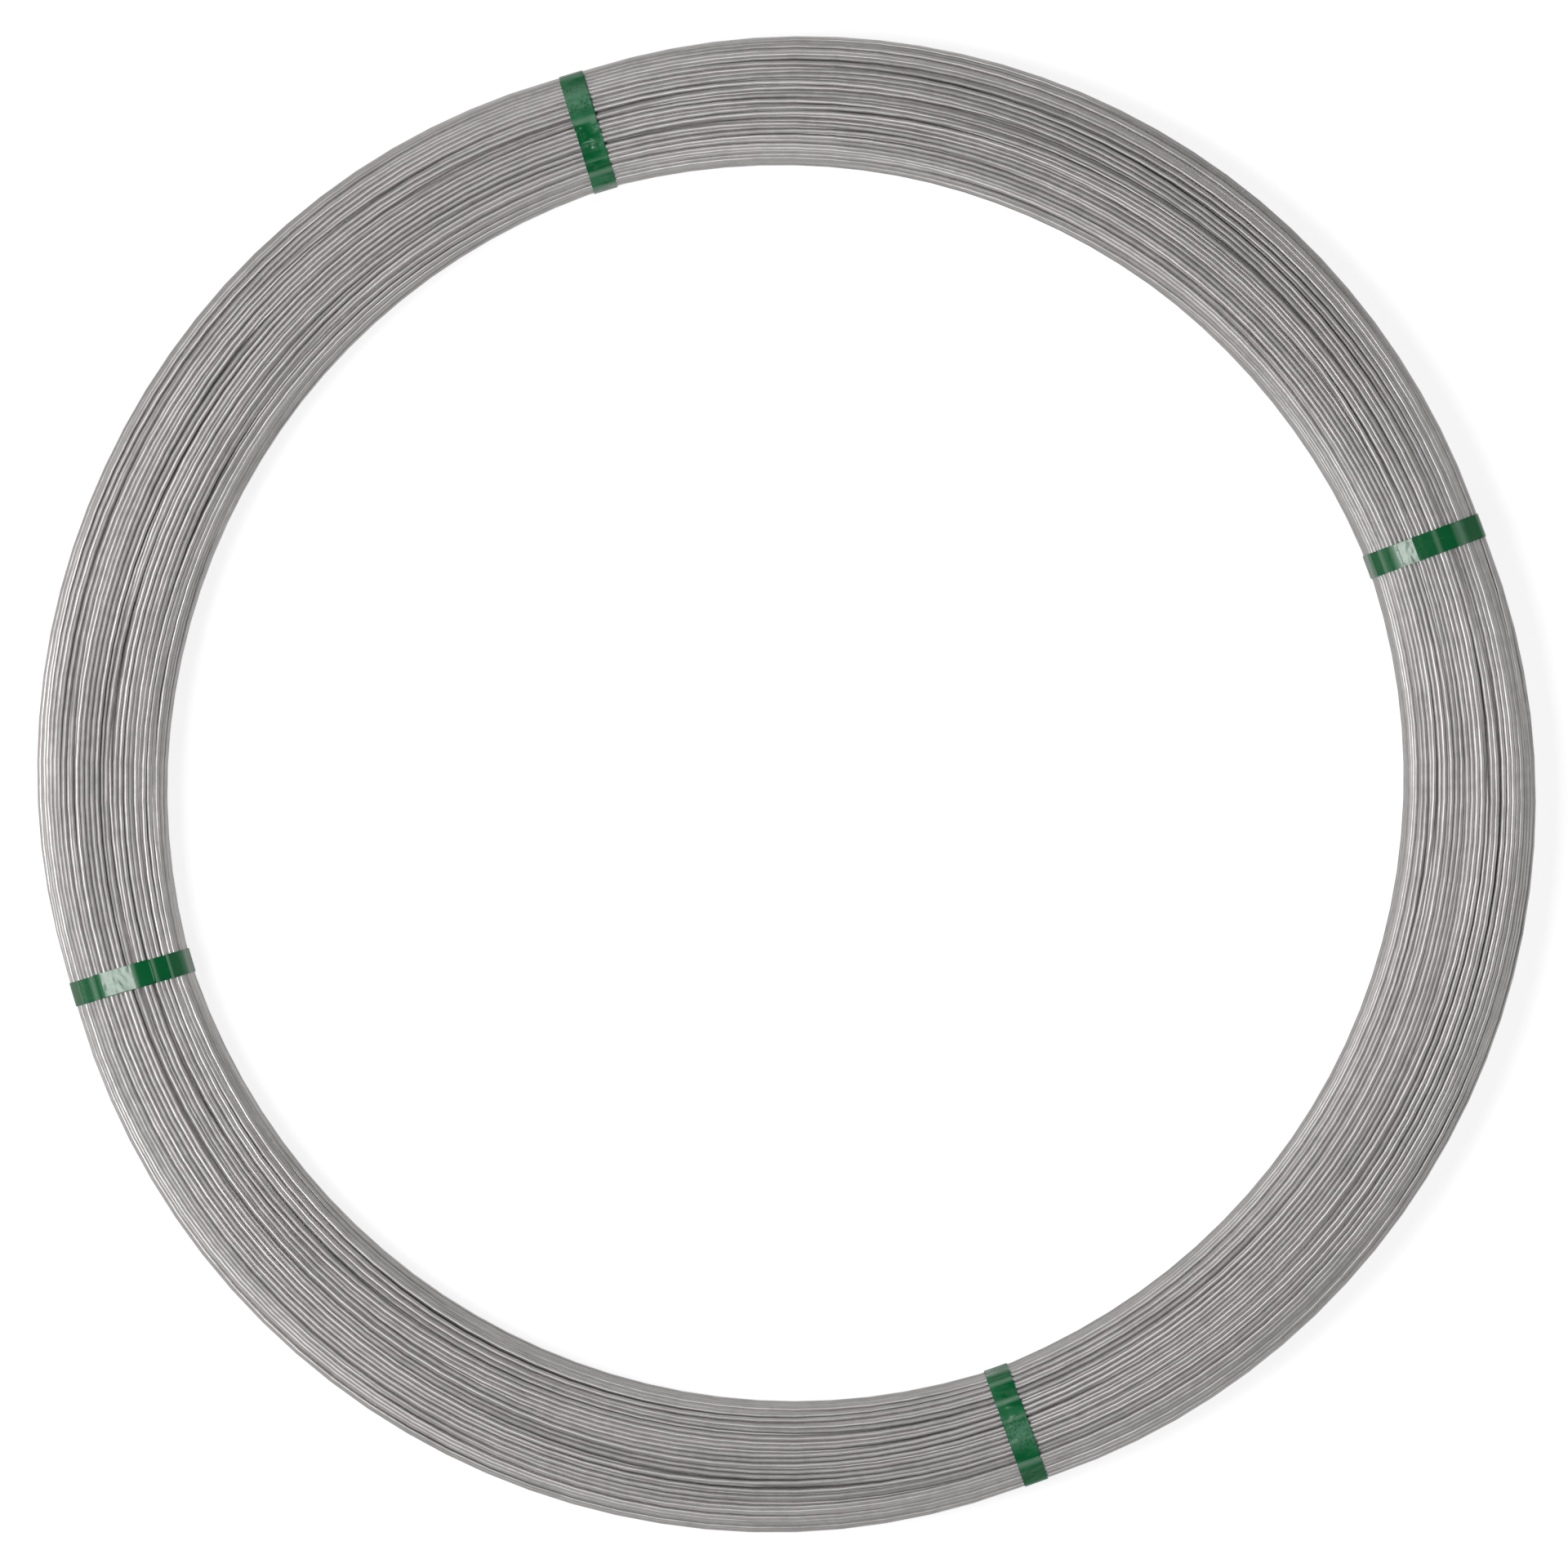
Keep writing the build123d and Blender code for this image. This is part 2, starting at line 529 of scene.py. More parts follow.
    def _near_pairs(self, place: np.ndarray, reach: float) -> tuple[np.ndarray, np.ndarray]:
        """Every two places in one section that are nearer than reach.

        Args:
            place: all places along the wire.
            reach: the largest distance.

        Returns:
            The first and the second place of each pair, as row numbers.
        """
        rows = place.reshape(self.turns, self.sections, 2)
        firsts, seconds = [], []
        for section in range(self.sections):
            spots = rows[:, section, :]
            gap = ((spots[:, None, :] - spots[None, :, :]) ** 2).sum(-1)
            first, second = np.nonzero(np.triu(gap < reach**2, 1))
            firsts.append(first * self.sections + section)
            seconds.append(second * self.sections + section)
        return np.concatenate(firsts), np.concatenate(seconds)

    def _push_apart(
        self, place: np.ndarray, pairs: tuple[np.ndarray, np.ndarray], diameter: float
    ) -> np.ndarray:
        """The moves that part overlapping turns a little.

        Args:
            place: all places along the wire.
            pairs: the near pairs.
            diameter: the wire's diameter at this round.

        Returns:
            The move of each place.
        """
        first, second = pairs
        apart = place[first] - place[second]
        distance = np.sqrt((apart**2).sum(1)) + TINY
        overlap = diameter - distance
        hit = overlap > 0
        push = apart[hit] / distance[hit, None] * overlap[hit, None] * self.pressing.push
        move = np.zeros_like(place)
        for axis in range(2):
            move[:, axis] += np.bincount(first[hit], push[:, axis], len(place))
            move[:, axis] -= np.bincount(second[hit], push[:, axis], len(place))
        return move

    def _straightened(self, share: np.ndarray, passes: int) -> np.ndarray:
        """Stiffness: each place moves towards the middle of its neighbours along the wire.

        Args:
            share: all places along the wire, as shares of their oval.
            passes: how often.

        Returns:
            The new places.
        """
        for _ in range(passes):
            bend = 0.5 * (share[:-2] + share[2:]) - share[1:-1]
            share[1:-1] += self.pressing.stiffness * bend
        return share

    def _pull_in(self, place: np.ndarray, scale: np.ndarray, ripple: np.ndarray) -> np.ndarray:
        """How each place moves towards its oval's centre to stay inside the bundle's edge.

        Args:
            place: all places along the wire.
            scale: half the oval's width and height at each.
            ripple: how far the edge dips inward, for each section and direction.

        Returns:
            A factor for each place, which is 1 where it is inside already.
        """
        power = self.bundle.shoulder_power
        q = np.abs(place[:, 0] / scale[:, 0]) ** power + np.abs(place[:, 1] / scale[:, 1]) ** power
        out = q ** (1 / power)
        turn = np.arctan2(place[:, 1], place[:, 0])
        directions = ripple.shape[1]
        direction = np.round(turn / (2 * np.pi) * directions).astype(int) % directions
        section = np.tile(np.arange(self.sections), self.turns)
        limit = 1 - ripple[section, direction]
        factor = np.where(out > limit, limit / np.maximum(out, TINY), 1.0)
        return factor[:, None].astype(np.float32)

    def _hold(self, rows: np.ndarray, seats: list[tuple[int, list[Flat]]]) -> None:
        """Moves the turns inside the straps' flats and above the flattened underside.

        Args:
            rows: the places by turn and section, which are changed.
            seats: the sections beside the straps, with their flats.
        """
        radius = self.bundle.wire_diameter / 2
        for section, flats in seats:
            for outward, reach in flats:
                past = rows[:, section, :] @ outward - (reach - radius)
                rows[:, section, :] -= np.maximum(past, 0)[:, None] * outward
        floor = self.bundle.rest_flat_depth - self.ovals.half_height + radius
        rows[..., 1] = np.maximum(rows[..., 1], floor)

    def centre_line(self) -> np.ndarray:
        """The whole wire in space.

        Returns:
            One row (x, y, z) for each section that the wire passes, in order along it.
        """
        lay = self.pressed()
        angles = self.bundle.section_angles()
        across = self.ovals.radius[None, :] + lay[..., 0]
        up = self.ovals.height[None, :] + lay[..., 1]
        line = np.stack([across * np.cos(angles), across * np.sin(angles), up], axis=-1)
        return line.reshape(-1, 3)


def placed(name: str, data: bpy.types.ID) -> bpy.types.Object:
    """Puts a new object in the scene, at the origin.

    Args:
        name: the object's name.
        data: its mesh, lamp or camera.

    Returns:
        The object.
    """
    made = bpy.data.objects.new(name, data)
    bpy.context.scene.collection.objects.link(made)
    return made


def mark(mesh: bpy.types.Mesh, name: str, values: np.ndarray) -> None:
    """Gives each point of a mesh a named value."""
    layer = mesh.attributes.new(name, "FLOAT", "POINT")
    layer.data.foreach_set("value", values.astype(np.float32))


def settle(piece: bpy.types.Object) -> None:
    """Turns an object's evaluated shape into its plain mesh and removes its modifiers.

    Args:
        piece: the object, which keeps its name.
    """
    evaluated = piece.evaluated_get(bpy.context.evaluated_depsgraph_get())
    mesh = bpy.data.meshes.new_from_object(evaluated)
    piece.modifiers.clear()
    old, piece.data = piece.data, mesh
    bpy.data.meshes.remove(old)
    mesh.name = piece.name


def turn_outwards(mesh: bpy.types.Mesh) -> None:
    """Turns every face of a closed mesh outwards.

    Args:
        mesh: the mesh, which is changed.
    """
    shape = bmesh.new()
    shape.from_mesh(mesh)
    bmesh.ops.recalc_face_normals(shape, faces=shape.faces)
    shape.to_mesh(mesh)
    shape.free()


class NodeGraph:
    """A thin hand for building node trees: adds nodes, sets their inputs and joins them."""

    def __init__(self, tree: bpy.types.NodeTree) -> None:
        """Holds the tree that nodes are added to."""
        self.tree = tree

    def feed(self, socket: bpy.types.NodeSocket, value: object) -> None:
        """Joins another node's socket to an input, or else sets the input's own value."""
        if isinstance(value, bpy.types.NodeSocket):
            self.tree.links.new(value, socket)
        else:
            socket.default_value = value

    def add(self, kind: str, inputs: dict | None = None, **settings: object) -> bpy.types.Node:
        """Adds a node.

        Args:
            kind: the node's type name.
            inputs: for each input socket, by name or number, a value or the socket that feeds it.
            settings: the node's own properties.

        Returns:
            The new node.
        """
        node = self.tree.nodes.new(kind)
        for name, value in settings.items():
            setattr(node, name, value)
        for name, value in (inputs or {}).items():
            self.feed(node.inputs[name], value)
        return node

    def attribute(self, name: str) -> bpy.types.NodeSocket:
        """The value that the mesh's points carry under this name."""
        return self.add("ShaderNodeAttribute", attribute_name=name).outputs["Fac"]

    def math(
        self, operation: str, first: object, second: object = 0.0, third: object = 0.0
    ) -> bpy.types.NodeSocket:
        """The result of a math node on values or sockets."""
        inputs = {0: first, 1: second, 2: third}
        return self.add("ShaderNodeMath", inputs, operation=operation).outputs[0]

    def weighted(self, start: float, *parts: tuple[object, float]) -> bpy.types.NodeSocket:
        """A weighted sum.

        Args:
            start: the value that it starts from.
            parts: the sockets that are added, each with its weight.

        Returns:
            The sum's socket.
        """
        total = start
        for socket, weight in parts:
            total = self.math("MULTIPLY_ADD", socket, weight, total)
        return total

    def ramp(self, value: object, low: float, high: float) -> bpy.types.NodeSocket:
        """A value spread from 0 at low to 1 at high, and kept within them."""
        inputs = {"Value": value, "From Min": low, "From Max": high}
        return self.add("ShaderNodeMapRange", inputs, interpolation_type="SMOOTHSTEP").outputs[0]

    def blend(self, share: object, first: object, second: object) -> bpy.types.NodeSocket:
        """The colour between two colours.

        Args:
            share: how far it is on the way to the second, as a value or socket.
            first: the first colour, or its socket.
            second: the second.

        Returns:
            The colour's socket.
        """
        node = self.add("ShaderNodeMix", data_type="RGBA")
        colours = [socket for socket in node.inputs if socket.type == "RGBA"]
        for socket, value in zip([node.inputs[0]] + colours, (share, first, second)):
            self.feed(socket, value)
        return next(socket for socket in node.outputs if socket.type == "RGBA")


def open_group(name: str, kind: str, inputs: dict[str, str], outputs: dict[str, str]) -> NodeGraph:
    """A new node group with named sockets.

    Args:
        name: the group's name.
        kind: GeometryNodeTree or ShaderNodeTree.
        inputs: the kind of each input, by its name.
        outputs: the kind of each output, by its name.

    Returns:
        The graph of the new group, with its Group Input and Group Output nodes in place.
    """
    tree = bpy.data.node_groups.new(name, kind)
    for sockets, direction in ((inputs, "INPUT"), (outputs, "OUTPUT")):
        for socket, socket_kind in sockets.items():
            tree.interface.new_socket(socket, in_out=direction, socket_type=socket_kind)
    graph = NodeGraph(tree)
    graph.add("NodeGroupInput")
    graph.add("NodeGroupOutput")
    return graph


def open_material(name: str) -> tuple[bpy.types.Material, NodeGraph]:
    """A new material with an empty node tree.

    Args:
        name: the material's name.

    Returns:
        The material, and the graph of its tree.
    """
    material = bpy.data.materials.new(name)
    material.use_nodes = True
    material.node_tree.nodes.clear()
    return material, NodeGraph(material.node_tree)


@dataclass(frozen=True)
class SurfaceGrain:
    """The fine unevenness that both the zinc and the plastic have, as a mask and a height.

    A coarse noise, of so many patches to one of the fine grain, says where the grain is strong.
    """

    patches: float = 0.11
    patch_range: Range = (0.42, 0.66)
    fine_detail: float = 3.0
    patch_detail: float = 2.0
    everywhere: float = 0.5

    def group(self) -> bpy.types.NodeTree:
        """Builds the grain's shader node group.

        Returns:
            A group with inputs Vector and Scale, and outputs Mask and Height.
        """
        inputs = {"Vector": "NodeSocketVector", "Scale": "NodeSocketFloat"}
        outputs = {"Mask": "NodeSocketFloat", "Height": "NodeSocketFloat"}
        graph = open_group("surface_grain", "ShaderNodeTree", inputs, outputs)
        source, result = graph.tree.nodes["Group Input"], graph.tree.nodes["Group Output"]
        vector, scale = source.outputs["Vector"], source.outputs["Scale"]
        fine = {"Vector": vector, "Scale": scale, "Detail": self.fine_detail}
        coarse_scale = graph.math("MULTIPLY", scale, self.patches)
        coarse = {"Vector": vector, "Scale": coarse_scale, "Detail": self.patch_detail}
        fine_noise = graph.add("ShaderNodeTexNoise", fine).outputs["Fac"]
        coarse_noise = graph.add("ShaderNodeTexNoise", coarse).outputs["Fac"]
        mask = graph.ramp(coarse_noise, *self.patch_range)
        height = graph.math("MULTIPLY", fine_noise, graph.math("ADD", mask, self.everywhere))
        graph.feed(result.inputs["Mask"], mask)
        graph.feed(result.inputs["Height"], height)
        return graph.tree


@dataclass(frozen=True)
class Finish:
    """What the part's finishes share: one Principled shader, and the surface grain."""

    grain: bpy.types.NodeTree
    name: str
    grain_scale: float
    bump_depth: float
    bump_strength: float

    def _grained(self, graph: NodeGraph) -> bpy.types.Node:
        """The surface grain, laid in the object's own space."""
        inputs = {"Vector": graph.add("ShaderNodeTexCoord").outputs["Object"], "Scale": self.grain_scale}
        return graph.add("ShaderNodeGroup", inputs, node_tree=self.grain)

    def _shade(self, graph: NodeGraph, height: bpy.types.NodeSocket, inputs: dict) -> None:
        """Ends a material in its shader.

        Args:
            graph: the material's graph.
            height: what the bump follows.
            inputs: the shader's other inputs.
        """
        bumps = {"Height": height, "Strength": self.bump_strength, "Distance": self.bump_depth}
        normal = graph.add("ShaderNodeBump", bumps).outputs["Normal"]
        shader = graph.add("ShaderNodeBsdfPrincipled", {**inputs, "Normal": normal})
        graph.add("ShaderNodeOutputMaterial", {"Surface": shader.outputs[0]})


@dataclass(frozen=True)
class Patches:
    """Dull patches along the wire: how many to a metre, where they fade in and how they count."""

    count: float
    fade: Range
    share: float
    detail: float = 2.0

    def mask(self, graph: NodeGraph, run: bpy.types.NodeSocket) -> bpy.types.NodeSocket:
        """The patches as a mask.

        Args:
            graph: the material's graph.
            run: how far along the wire a point lies.

        Returns:
            The mask's socket.
        """
        inputs = {"W": run, "Scale": self.count, "Detail": self.detail}
        noise = graph.add("ShaderNodeTexNoise", inputs, noise_dimensions="1D")
        return graph.ramp(noise.outputs["Fac"], *self.fade)


@dataclass(frozen=True)
class GalvanizedWire(Finish):
    """Drawn steel wire with a satin zinc coat: light, dull in places, with a fine grain."""

    name: str = "galvanized_wire"
    bright: Colour = (0.80, 0.777, 0.770, 1.0)
    dull: Colour = (0.56, 0.543, 0.539, 1.0)
    smooth: float = 0.46
    rough: float = 0.66
    patches: tuple[Patches, ...] = (
        Patches(1.7, (0.36, 0.68), 1.0),
        Patches(23.0, (0.40, 0.72), 0.35),
    )
    grain_scale: float = 1500.0
    grain_share: float = 0.25
    dull_share: float = 0.72
    bump_depth: float = 0.05 * MM
    bump_strength: float = 0.25

    def material(self) -> bpy.types.Material:
        """Builds the material, whose patches follow the wire by its run attribute.

        Returns:
            The material.
        """
        material, graph = open_material(self.name)
        run = graph.attribute("run")
        grain = self._grained(graph)
        masks = [(patches.mask(graph, run), patches.share) for patches in self.patches]
        dullness = graph.weighted(0.0, *masks, (grain.outputs["Mask"], self.grain_share))
        dullness = graph.math("MINIMUM", graph.math("MULTIPLY", dullness, self.dull_share), 1.0)
        spread = {"Value": dullness, "To Min": self.smooth, "To Max": self.rough}
        inputs = {
            "Base Color": graph.blend(dullness, self.bright, self.dull),
            "Roughness": graph.add("ShaderNodeMapRange", spread).outputs[0],
            "Metallic": 1.0,
        }
        self._shade(graph, grain.outputs["Height"], inputs)
        return material


@dataclass(frozen=True)
class BandPattern:
    """A noise on a strap: how fine it is to a metre along and across, and where it fades in."""

    along: float
    across: float
    detail: float
    fade: Range = (0.0, 1.0)

    def noise(self, graph: NodeGraph, band: bpy.types.NodeSocket) -> bpy.types.NodeSocket:
        """The plain noise.

        Args:
            graph: the material's graph.
            band: the band's own UV map.

        Returns:
            The noise's socket.
        """
        stretched = graph.add("ShaderNodeMapping", {"Vector": band, "Scale": (self.along, self.across, 1.0)})
        inputs = {"Vector": stretched.outputs[0], "Scale": 1.0, "Detail": self.detail}
        return graph.add("ShaderNodeTexNoise", inputs).outputs["Fac"]

    def mask(self, graph: NodeGraph, band: bpy.types.NodeSocket) -> bpy.types.NodeSocket:
        """The noise, faded in between its two limits."""
        return graph.ramp(self.noise(graph, band), *self.fade)


@dataclass(frozen=True)
class Mark:
    """What one feature of the plastic adds to its colour, its roughness and its relief."""

    colour: float = 0.0
    roughness: float = 0.0
    relief: float = 0.0


@dataclass(frozen=True)
class StrapPlastic(Finish):
    """Deep green glossy strapping with rolled lines, scuffs, crinkles and a frosted weld."""

    name: str = "strap_plastic"
    green: Colour = (0.0, 0.150, 0.042, 1.0)
    # This lighter green serves the real scuffs and the rubs, where it is partly painted sheen
    scuffed_and_sheen: Colour = (0.04, 0.28, 0.12, 1.0)
    frosted: Colour = (0.12, 0.33, 0.20, 1.0)
    whitened: Colour = (0.30, 0.50, 0.36, 1.0)
    gloss: float = 0.12
    specular: float = 0.38
    bump_depth: float = 0.06 * MM
    bump_strength: float = 0.5

    # The patterns, and what each adds
    scuffs: BandPattern = BandPattern(60.0, 1500.0, 4.0, (0.58, 0.72))
    # The rub patches: partly real wear, partly a painted sheen of lighter green
    rubs_and_sheen: BandPattern = BandPattern(110.0, 45.0, 3.0, (0.44, 0.62))
    rolled_lines: BandPattern = BandPattern(6.0, 2400.0, 2.0)
    crinkles: BandPattern = BandPattern(230.0, 120.0, 1.0)
    scuff: Mark = Mark(colour=0.55, roughness=0.22)
    # The rub's colour share is partly painted sheen
    rub_and_sheen: Mark = Mark(colour=0.55, roughness=0.26)
    crease: Mark = Mark(colour=0.55, roughness=0.3)
    frost: Mark = Mark(colour=0.85, roughness=0.3, relief=-1.2)
    rolled: Mark = Mark(relief=0.35)
    crinkle: Mark = Mark(relief=60.0)
    grained: Mark = Mark(relief=0.15)
    grain_scale: float = 900.0

    # The least share of a scuff and of the frost outside the grain's and the weld's spots
    least: float = 0.25
    weld_spots: float = 620.0
    spot_range: Range = (0.25, 0.50)

    def material(self) -> bpy.types.Material:
        """Builds the material, laid out on the band's own UV map in metres along and across.

        Returns:
            The material.
        """
        material, graph = open_material(self.name)
        band = graph.add("ShaderNodeUVMap", uv_map="band").outputs["UV"]
        grain = self._grained(graph)
        weld, wear_and_sheen, crease = (graph.attribute(name) for name in ("weld", "wear_and_sheen", "crease"))
        grained = graph.math("ADD", grain.outputs["Mask"], self.least)
        scuff = graph.math("MULTIPLY", self.scuffs.mask(graph, band), grained)
        # Rub patches on the more worn straps: partly real wear, partly painted sheen
        rub_and_sheen = graph.math("MULTIPLY", self.rubs_and_sheen.mask(graph, band), wear_and_sheen)
        crinkle = graph.math("MULTIPLY", self.crinkles.noise(graph, band), wear_and_sheen)
        spots = graph.add("ShaderNodeTexVoronoi", {"Vector": band, "Scale": self.weld_spots})
        spot = graph.ramp(spots.outputs["Distance"], *self.spot_range)
        frost = graph.math("MULTIPLY", weld, graph.weighted(self.least, (spot, 1 - self.least)))
        # Lighter green from the scuffs and from the rubs, whose share is partly painted sheen
        worn_and_sheen = graph.weighted(0.0, (scuff, self.scuff.colour), (rub_and_sheen, self.rub_and_sheen.colour))
        colour = graph.blend(worn_and_sheen, self.green, self.scuffed_and_sheen)
        colour = graph.blend(graph.math("MULTIPLY", crease, self.crease.colour), colour, self.whitened)
        colour = graph.blend(graph.math("MULTIPLY", frost, self.frost.colour), colour, self.frosted)
        roughness = graph.weighted(
            self.gloss,
            (scuff, self.scuff.roughness),
            (frost, self.frost.roughness),
            (rub_and_sheen, self.rub_and_sheen.roughness),
            (crease, self.crease.roughness),
        )
        height = graph.weighted(
            0.0,
            (self.rolled_lines.noise(graph, band), self.rolled.relief),
            (frost, self.frost.relief),
            (grain.outputs["Height"], self.grained.relief),
            (crinkle, self.crinkle.relief),
        )
        inputs = {"Base Color": colour, "Roughness": roughness, "Specular IOR Level": self.specular}
        self._shade(graph, height, inputs)
        return material


@dataclass(frozen=True)
class WireCoil:
    """The wire itself: one tube along the whole lay, kept in lengths that end under a strap."""

    lay: WireLay
    lengths: int = 4
    sides: int = 8

    def tube_tree(self) -> bpy.types.NodeTree:
        """Geometry nodes that turn a line of points into a round wire.

        Returns:
            A tree with inputs Line, Radius, Sides and Finish.
        """
        inputs = {
            "Line": "NodeSocketGeometry",
            "Radius": "NodeSocketFloat",
            "Sides": "NodeSocketInt",
            "Finish": "NodeSocketMaterial",
        }
        outputs = {"Wire": "NodeSocketGeometry"}
        graph = open_group("wire_tube", "GeometryNodeTree", inputs, outputs)
        source, result = graph.tree.nodes["Group Input"], graph.tree.nodes["Group Output"]
        curve = graph.add("GeometryNodeMeshToCurve", {"Mesh": source.outputs["Line"]})
        sizes = {"Resolution": source.outputs["Sides"], "Radius": source.outputs["Radius"]}
        circle = graph.add("GeometryNodeCurvePrimitiveCircle", sizes)
        parts = {"Curve": curve.outputs[0], "Profile Curve": circle.outputs[0], "Fill Caps": True}
        tube = graph.add("GeometryNodeCurveToMesh", parts)
        smooth = graph.add("GeometryNodeSetShadeSmooth", {"Geometry": tube.outputs[0]})
        real = graph.add("GeometryNodeRealizeInstances", {"Geometry": smooth.outputs[0]})
        dressed = {"Geometry": real.outputs[0], "Material": source.outputs["Finish"]}
        painted = graph.add("GeometryNodeSetMaterial", dressed)
        graph.feed(result.inputs["Wire"], painted.outputs[0])
        return graph.tree

    def build(self, line: np.ndarray, finish: bpy.types.Material) -> list[bpy.types.Object]:
        """Makes the wire's lengths, which meet under the first strap.

        Args:
            line: the wire's centre line, section by section.
            finish: the wire's material.

        Returns:
            The finished pieces.
        """
        tree = self.tube_tree()
        sockets = {item.name: item.identifier for item in tree.interface.items_tree}
        sizes = {"Radius": self.lay.bundle.wire_diameter / 2, "Sides": self.sides, "Finish": finish}
        steps = np.linalg.norm(np.diff(line, axis=0), axis=1)
        run = np.concatenate([[0.0], np.cumsum(steps)])
        turns = [round(self.lay.turns * part / self.lengths) for part in range(self.lengths + 1)]
        cuts = [turn * self.lay.sections for turn in turns]
        pieces = []
        for number, (start, end) in enumerate(zip(cuts, cuts[1:]), 1):
            points, runs = self._stretch(line, start, end), self._stretch(run, start, end)
            piece = self._line(f"wire_turns_{number}", points, runs)
            maker = piece.modifiers.new("tube", "NODES")
            maker.node_group = tree
            for name, value in sizes.items():
                maker[sockets[name]] = value
            settle(piece)
            piece.data.materials.clear()
            piece.data.materials.append(finish)
            pieces.append(piece)
        return pieces

    @staticmethod
    def _stretch(row: np.ndarray, start: int, end: int) -> np.ndarray:
        """A stretch of a row along the wire, led on to the middle of the strap at both its ends."""
        halves = (row[:-1] + row[1:]) / 2
        return np.concatenate([halves[max(start - 1, 0) : start], row[start:end], halves[end - 1 : end]])

    @staticmethod
    def _line(name: str, points: np.ndarray, run: np.ndarray) -> bpy.types.Object:
        """A mesh of joined points that carries each point's run along the wire.

        Args:
            name: the object's name.
            points: the centre line.
            run: how far along the whole wire each point lies.

        Returns:
            The new object.
        """
        mesh = bpy.data.meshes.new(name)
        edges = [(index, index + 1) for index in range(len(points) - 1)]
        mesh.from_pydata([tuple(point) for point in points], edges, [])
        mark(mesh, "run", run)
        return placed(name, mesh)


def hull_of(points: np.ndarray) -> np.ndarray:
    """The convex hull of points in a plane.

    Args:
        points: the points, one a row.

    Returns:
        The hull's corners, anticlockwise.
    """
    ordered = points[np.lexsort((points[:, 1], points[:, 0]))]
    corners = []
    for row in (ordered, ordered[::-1]):
        chain: list[np.ndarray] = []
        for point in row:
            while len(chain) > 1:
                ahead, back = chain[-1] - chain[-2], point - chain[-1]
                if ahead[0] * back[1] - ahead[1] * back[0] > 0:
                    break
                chain.pop()
            chain.append(point)
        corners += chain[:-1]
    return np.array(corners)


def tube_faces(rings: int, around: int) -> list[tuple[int, ...]]:
    """The faces of a closed tube, whose points run ring after ring.

    Args:
        rings: how many rings of points.
        around: how many points a ring has.

    Returns:
        Each face as its points' numbers, with the two ends last.
    """
    faces = []
    for ring in range(rings - 1):
        for corner in range(around):
            a, b = ring * around + corner, ring * around + (corner + 1) % around
            faces.append((a, b, b + around, a + around))
    last = (rings - 1) * around
    return faces + [tuple(range(around)), tuple(range(last, last + around))]


@dataclass(frozen=True)
class Loop:
    """The inside of a strap: its points, the outward direction at each and how creased it is."""

    points: np.ndarray
    normals: np.ndarray
    creases: np.ndarray

    def turned_back(self) -> "Loop":
        """The same loop, run the other way."""
        return Loop(self.points[::-1], self.normals[::-1], self.creases[::-1])

    def way(self) -> np.ndarray:
        """The way round the loop to each point, and the whole way last."""
        steps = np.linalg.norm(np.diff(np.vstack([self.points, self.points[:1]]), axis=0), axis=1)
        return np.concatenate([[0.0], np.cumsum(steps)])

    def at(self, stations: np.ndarray) -> "Loop":
        """The loop at some stations.

        Args:
            stations: ways along the loop, which may go round it more than once.

        Returns:
            The points, outward directions and creases there.
        """
        way = self.way()
        table = np.column_stack([self.points, self.normals, self.creases])
        columns = np.vstack([table, table[:1]]).T
        x, z, out_x, out_z, creases = [np.interp(stations % way[-1], way, column) for column in columns]
        outward = np.stack([out_x, out_z], axis=1)
        outward /= np.linalg.norm(outward, axis=1, keepdims=True)
        return Loop(np.stack([x, z], axis=1), outward, creases)


